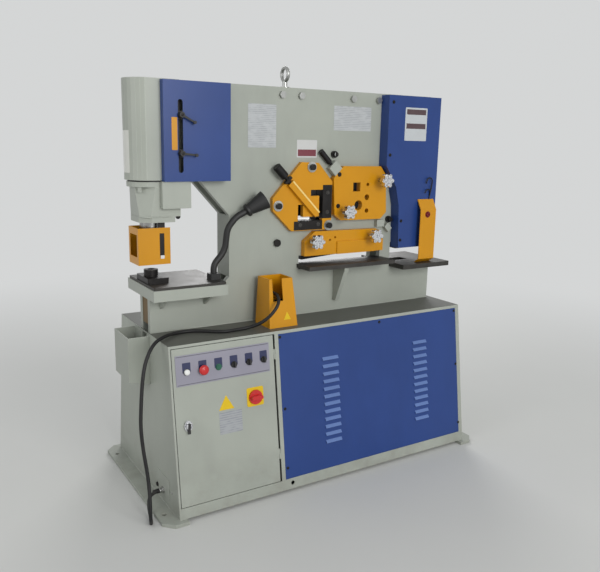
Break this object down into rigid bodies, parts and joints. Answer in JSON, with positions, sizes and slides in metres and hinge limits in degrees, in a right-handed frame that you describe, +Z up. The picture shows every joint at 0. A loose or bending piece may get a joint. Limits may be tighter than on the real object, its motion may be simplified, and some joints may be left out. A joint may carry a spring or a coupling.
{
  "type": "hydraulic ironworker",
  "caption": "Floor-standing twin-plate ironworker with punch, angle, bar, plate and notching stations, louvred cabinet, control door, work lamp and foot pedal.",
  "frame": {"origin": "on the floor, at the centre of the four anchor holes", "axes": "+Z up, +X along the machine from the punch end to the notcher end, -Y is the operator's front"},
  "size_m": [1.9201, 0.904, 2.004],
  "materials": {
    "body_paint": "pale grey-green machine enamel, fine orange peel",
    "blue_paint": "blue machine enamel",
    "amber_paint": "amber yellow machine enamel",
    "black_oxide": "black oxide steel",
    "bright_steel": "ground steel",
    "dark_steel": "hot-rolled steel, oiled",
    "chrome_plate": "polished chrome",
    "black_plastic": "matt black",
    "white_lens": "white diffusing lens",
    "red_plastic": "red",
    "green_plastic": "green",
    "strip_lacquer": "lilac-white lacquer",
    "black_rubber": "black sheath"
  },
  "bodies": {
    "machine": {"cabinet": "body_paint", "slug_bin": "body_paint", "louvred_panel": "blue_paint", "rear_cover": "body_paint", "power_unit": "dark_steel", "contactor_plate": "black_plastic", "cord_gland": "black_plastic", "front_frame_plate": "body_paint", "rear_frame_plate": "body_paint", "frame_spacers": "dark_steel", "machine_bolts": "black_oxide", "lifting_eye": "bright_steel", "jaw_strip": "amber_paint", "cylinder_casing": "body_paint", "punch_cylinder": "dark_steel", "punch_head": "body_paint", "switch_box": "body_paint", "punch_cover": "blue_paint", "stripper_guard": "amber_paint", "punch_table": "body_paint", "punch_die_set": "black_oxide", "fixed_blades": "black_oxide", "angle_shear_plate": "amber_paint", "bar_shear_plate": "amber_paint", "screw_blocks": "body_paint", "plate_clamp": "amber_paint", "shear_table": "body_paint", "shear_cylinder": "dark_steel", "end_cover": "blue_paint", "notcher_table": "body_paint", "notcher_guard": "amber_paint", "work_lamp": "black_plastic", "pedal_housing": "amber_paint", "pedal_cord": "black_rubber"},
    "door": {"control_door": "body_paint", "control_strip": "strip_lacquer", "indicator_lamp": "white_lens"},
    "lock": {"door_lock": "chrome_plate"},
    "stop_mushroom": {"stop_button": "red_plastic"},
    "start_push": {"start_button": "green_plastic"},
    "selector_a": {"selector_one": "black_plastic"},
    "selector_b": {"selector_two": "black_plastic"},
    "selector_c": {"selector_three": "black_plastic"},
    "switch_knob": {"main_switch": "red_plastic"},
    "ram": {"punch_ram": "bright_steel", "punch": "bright_steel"},
    "beam": {"shear_beam": "dark_steel", "moving_blades": "bright_steel"},
    "rod": {"cylinder_rod": "bright_steel"},
    "angle_clamp": {"angle_hold_down": "black_oxide"},
    "bar_clamp": {"bar_hold_down": "black_oxide"},
    "star_1": {"star_knob_1": "chrome_plate"},
    "star_2": {"star_knob_2": "chrome_plate"},
    "star_3": {"star_knob_3": "chrome_plate"},
    "star_4": {"star_knob_4": "chrome_plate"},
    "stop_high": {"upper_stop": "black_oxide"},
    "stop_low": {"lower_stop": "black_oxide"},
    "lever_high": {"upper_lever": "black_plastic"},
    "lever_low": {"lower_lever": "black_plastic"},
    "treadle": {"pedal_treadle": "black_plastic"}
  },
  "joints": [
    {"name": "door_hinge", "type": "hinge", "parent": "machine", "child": "door", "pos_m": [-0.333, -0.31902, 0.77973], "axis": [0, 0.1355, 0.9908], "range_deg": [0, 110]},
    {"name": "lock_turn", "type": "hinge", "parent": "door", "child": "lock", "pos_m": [-0.784, -0.36951, 0.4253], "axis": [0, -0.9908, 0.1355], "range_deg": [-90, 0]},
    {"name": "stop_press", "type": "slide", "parent": "door", "child": "stop_mushroom", "axis": [0, 0.9908, -0.1355], "range_m": [0, 0.006], "stiffness_N_per_m": 900},
    {"name": "start_press", "type": "slide", "parent": "door", "child": "start_push", "axis": [0, 0.9908, -0.1355], "range_m": [0, 0.003], "stiffness_N_per_m": 600},
    {"name": "selector_a_turn", "type": "hinge", "parent": "door", "child": "selector_a", "pos_m": [-0.546, -0.3374, 0.66012], "axis": [0, -0.9908, 0.1355], "range_deg": [-45, 45]},
    {"name": "selector_b_turn", "type": "hinge", "parent": "door", "child": "selector_b", "pos_m": [-0.47, -0.3374, 0.66012], "axis": [0, -0.9908, 0.1355], "range_deg": [-45, 45]},
    {"name": "selector_c_turn", "type": "hinge", "parent": "door", "child": "selector_c", "pos_m": [-0.394, -0.3374, 0.66012], "axis": [0, -0.9908, 0.1355], "range_deg": [-45, 45]},
    {"name": "main_switch_turn", "type": "hinge", "parent": "door", "child": "switch_knob", "pos_m": [-0.447, -0.36017, 0.49367], "axis": [0, -0.9908, 0.1355], "range_deg": [-90, 0]},
    {"name": "ram_stroke", "type": "slide", "parent": "machine", "child": "ram", "axis": [0, 0, -1], "range_m": [0, 0.08]},
    {"name": "beam_rock", "type": "hinge", "parent": "machine", "child": "beam", "pos_m": [-0.191, -0.027, 1.159], "axis": [0, 1, 0], "range_deg": [0, 5]},
    {"name": "shear_rod_stroke", "type": "slide", "parent": "machine", "child": "rod", "axis": [0, 0, -1], "range_m": [0, 0.0699]},
    {"name": "angle_clamp_feed", "type": "slide", "parent": "machine", "child": "angle_clamp", "axis": [0.7071, 0, -0.7071], "range_m": [-0.01, 0.015]},
    {"name": "bar_clamp_feed", "type": "slide", "parent": "machine", "child": "bar_clamp", "axis": [0.7071, 0, -0.7071], "range_m": [-0.008, 0.01]},
    {"name": "star_1_turn", "type": "hinge", "parent": "machine", "child": "star_1", "pos_m": [0.412, -0.19, 1.46], "axis": [0, 1, 0], "range_deg": [-180, 180]},
    {"name": "star_2_turn", "type": "hinge", "parent": "machine", "child": "star_2", "pos_m": [0.18, -0.19, 1.306], "axis": [0, 1, 0], "range_deg": [-180, 180]},
    {"name": "star_3_turn", "type": "hinge", "parent": "machine", "child": "star_3", "pos_m": [-0.008, -0.19, 1.164], "axis": [0, 1, 0], "range_deg": [-180, 180]},
    {"name": "star_4_turn", "type": "hinge", "parent": "machine", "child": "star_4", "pos_m": [0.358, -0.19, 1.174], "axis": [0, 1, 0], "range_deg": [-180, 180]},
    {"name": "high_stop_travel", "type": "slide", "parent": "machine", "child": "stop_high", "axis": [0, 0, 1], "range_m": [-0.055, 0.055]},
    {"name": "low_stop_travel", "type": "slide", "parent": "machine", "child": "stop_low", "axis": [0, 0, 1], "range_m": [-0.07, 0.055]},
    {"name": "high_lever_turn", "type": "hinge", "parent": "stop_high", "child": "lever_high", "pos_m": [-0.71, -0.167, 1.751], "axis": [0, 1, 0], "range_deg": [-60, 0]},
    {"name": "low_lever_turn", "type": "hinge", "parent": "stop_low", "child": "lever_low", "pos_m": [-0.71, -0.167, 1.589], "axis": [0, 1, 0], "range_deg": [0, 60]},
    {"name": "treadle_press", "type": "hinge", "parent": "machine", "child": "treadle", "pos_m": [-0.2485, -0.172, 0.808], "axis": [-1, 0, 0], "range_deg": [0, 10], "stiffness_Nm_per_rad": 6}
  ],
  "couplings": [
    {"joint": "shear_rod_stroke", "follows": "beam_rock", "m_per_rad": 0.8}
  ]
}
